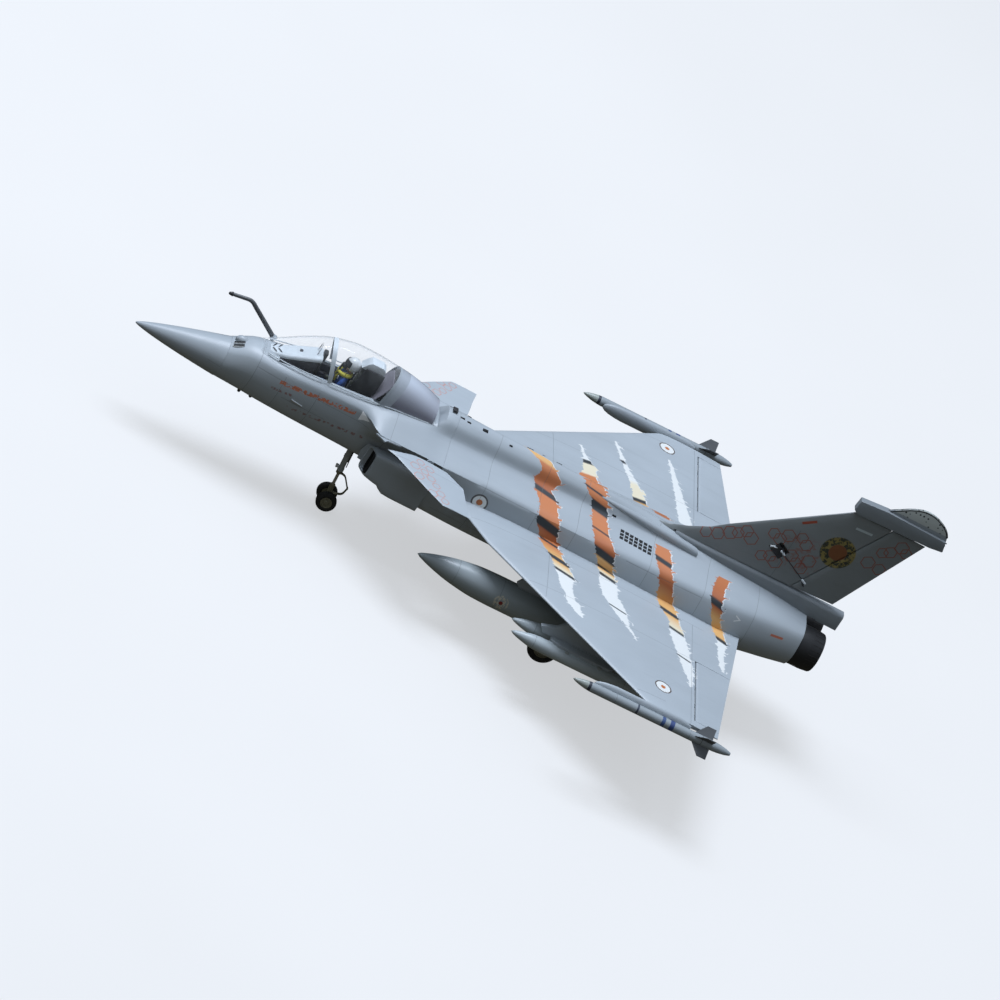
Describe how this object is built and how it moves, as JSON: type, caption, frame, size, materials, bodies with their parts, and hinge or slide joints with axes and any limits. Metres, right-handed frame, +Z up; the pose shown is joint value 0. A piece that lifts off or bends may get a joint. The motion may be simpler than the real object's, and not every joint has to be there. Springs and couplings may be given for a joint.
{
  "type": "rc jet plane",
  "caption": "Ducted-fan radio-controlled delta jet with canards, retracting undercarriage, drop tanks, twin store racks and wingtip missiles.",
  "frame": {"origin": "on the ground under the middle of the bounding box, the tyres standing on z = 0", "axes": "-Y towards the nose, +X towards the port wing tip, +Z up"},
  "size_m": [1.0836, 1.5374, 0.552],
  "materials": {
    "foam_grey": "satin",
    "dark_foam": "matte",
    "black_plastic": "satin",
    "nozzle_black": "satin",
    "clear_plastic": "gloss",
    "cockpit_grey": "matte",
    "figure_paint": "satin",
    "steel": "satin",
    "alloy": "satin",
    "rubber": "matte",
    "cell_wrap": "gloss",
    "carbon": "satin",
    "store_grey": "satin"
  },
  "bodies": {
    "airframe": {"nose_cone": "foam_grey", "front_fuselage": "foam_grey", "rear_fuselage": "foam_grey", "tail_fairing": "foam_grey", "left_intake": "foam_grey", "right_intake": "foam_grey", "left_wing": "foam_grey", "right_wing": "foam_grey", "fin_tip_pod": "foam_grey", "left_store_rack": "foam_grey", "right_store_rack": "foam_grey", "fin": "dark_foam", "intake_duct": "black_plastic", "fan_housing": "black_plastic", "left_elevon_servo": "black_plastic", "right_elevon_servo": "black_plastic", "rudder_servo": "black_plastic", "canard_servo": "black_plastic", "speed_controller": "black_plastic", "receiver": "black_plastic", "nose_retract": "black_plastic", "left_main_retract": "black_plastic", "right_main_retract": "black_plastic", "refuelling_probe": "black_plastic", "nozzles": "nozzle_black", "fan_motor": "alloy", "thrust_duct": "alloy", "battery": "cell_wrap", "wing_joiner": "carbon", "left_drop_tank": "store_grey", "right_drop_tank": "store_grey", "left_wingtip_missile": "store_grey", "right_wingtip_missile": "store_grey"},
    "canopy_hatch": {"canopy_frame": "foam_grey", "canopy_glazing": "clear_plastic", "cockpit_tub": "cockpit_grey", "ejection_seat": "black_plastic", "pilot_figure": "figure_paint"},
    "latch": {"hatch_latch": "black_plastic"},
    "fan_shaft": {"fan_rotor": "black_plastic"},
    "canards": {"left_canard": "foam_grey", "right_canard": "foam_grey"},
    "rudder_panel": {"rudder": "dark_foam"},
    "rudder_servo_arm": {"rudder_arm": "black_plastic"},
    "rudder_link": {"rudder_rod": "steel"},
    "nose_leg": {"nose_strut": "alloy"},
    "nose_fork": {"nose_yoke": "steel"},
    "nose_wheel_set": {"nose_wheels": "alloy", "left_nose_tyre": "rubber", "right_nose_tyre": "rubber"},
    "left_elevon_panel": {"left_elevon": "foam_grey"},
    "left_servo_arm": {"left_elevon_arm": "black_plastic"},
    "left_link": {"left_elevon_rod": "steel"},
    "left_leg": {"left_main_leg": "alloy"},
    "left_wheel": {"left_main_wheel": "rubber"},
    "right_elevon_panel": {"right_elevon": "foam_grey"},
    "right_servo_arm": {"right_elevon_arm": "black_plastic"},
    "right_link": {"right_elevon_rod": "steel"},
    "right_leg": {"right_main_leg": "alloy"},
    "right_wheel": {"right_main_wheel": "rubber"}
  },
  "joints": [
    {"name": "hatch_lift", "type": "slide", "parent": "airframe", "child": "canopy_hatch", "axis": [0, 0, 1], "range_m": [0, 0.2]},
    {"name": "latch_slide", "type": "slide", "parent": "airframe", "child": "latch", "axis": [0, -1, 0], "range_m": [0, 0.004], "stiffness_N_per_m": 150},
    {"name": "fan_spin", "type": "hinge", "parent": "airframe", "child": "fan_shaft", "pos_m": [0, 0.303, 0.192], "axis": [0, 1, 0], "continuous": true},
    {"name": "canard_pitch", "type": "hinge", "parent": "airframe", "child": "canards", "pos_m": [0, -0.176, 0.234], "axis": [1, 0, 0], "range_deg": [-20, 20]},
    {"name": "rudder_swing", "type": "hinge", "parent": "airframe", "child": "rudder_panel", "pos_m": [0, 0.56768, 0.288], "axis": [0, 0.4769, 0.8789], "range_deg": [-25, 25]},
    {"name": "rudder_servo_turn", "type": "hinge", "parent": "airframe", "child": "rudder_servo_arm", "pos_m": [0, 0.50713, 0.34415], "axis": [0, 0.4769, 0.8789], "range_deg": [-25, 25]},
    {"name": "rudder_link_turn", "type": "hinge", "parent": "rudder_servo_arm", "child": "rudder_link", "pos_m": [0.016, 0.50713, 0.34415], "axis": [0, 0.4769, 0.8789], "range_deg": [-25, 25]},
    {"name": "left_elevon_swing", "type": "hinge", "parent": "airframe", "child": "left_elevon_panel", "pos_m": [0.374, 0.416, 0.193], "axis": [1, 0, 0], "range_deg": [-25, 25]},
    {"name": "left_servo_turn", "type": "hinge", "parent": "airframe", "child": "left_servo_arm", "pos_m": [0.318, 0.345, 0.19], "axis": [1, 0, 0], "range_deg": [-25, 25]},
    {"name": "left_link_turn", "type": "hinge", "parent": "left_servo_arm", "child": "left_link", "pos_m": [0.32, 0.345, 0.167], "axis": [1, 0, 0], "range_deg": [-25, 25]},
    {"name": "left_gear_retract", "type": "hinge", "parent": "airframe", "child": "left_leg", "pos_m": [0.16, 0.18, 0.158], "axis": [0, 1, 0], "range_deg": [0, 90]},
    {"name": "left_wheel_spin", "type": "hinge", "parent": "left_leg", "child": "left_wheel", "pos_m": [0.16, 0.18, 0.03], "axis": [1, 0, 0], "continuous": true},
    {"name": "right_elevon_swing", "type": "hinge", "parent": "airframe", "child": "right_elevon_panel", "pos_m": [-0.374, 0.416, 0.193], "axis": [1, 0, 0], "range_deg": [-25, 25]},
    {"name": "right_servo_turn", "type": "hinge", "parent": "airframe", "child": "right_servo_arm", "pos_m": [-0.318, 0.345, 0.19], "axis": [1, 0, 0], "range_deg": [-25, 25]},
    {"name": "right_link_turn", "type": "hinge", "parent": "right_servo_arm", "child": "right_link", "pos_m": [-0.32, 0.345, 0.167], "axis": [1, 0, 0], "range_deg": [-25, 25]},
    {"name": "right_gear_retract", "type": "hinge", "parent": "airframe", "child": "right_leg", "pos_m": [-0.16, 0.18, 0.158], "axis": [0, -1, 0], "range_deg": [0, 90]},
    {"name": "right_wheel_spin", "type": "hinge", "parent": "right_leg", "child": "right_wheel", "pos_m": [-0.16, 0.18, 0.03], "axis": [1, 0, 0], "continuous": true},
    {"name": "nose_gear_retract", "type": "hinge", "parent": "airframe", "child": "nose_leg", "pos_m": [0, -0.294, 0.16], "axis": [-1, 0, 0], "range_deg": [0, 98]},
    {"name": "nose_steer", "type": "hinge", "parent": "nose_leg", "child": "nose_fork", "pos_m": [0, -0.294, 0.16], "axis": [0, -0.0854, 0.9963], "range_deg": [-30, 30]},
    {"name": "nose_wheel_spin", "type": "hinge", "parent": "nose_fork", "child": "nose_wheel_set", "pos_m": [0, -0.282, 0.02], "axis": [1, 0, 0], "continuous": true}
  ],
  "couplings": [
    {"joint": "rudder_servo_turn", "follows": "rudder_swing", "ratio": 1},
    {"joint": "rudder_link_turn", "follows": "rudder_swing", "ratio": -1},
    {"joint": "left_servo_turn", "follows": "left_elevon_swing", "ratio": 1},
    {"joint": "left_link_turn", "follows": "left_elevon_swing", "ratio": -1},
    {"joint": "right_servo_turn", "follows": "right_elevon_swing", "ratio": 1},
    {"joint": "right_link_turn", "follows": "right_elevon_swing", "ratio": -1}
  ]
}
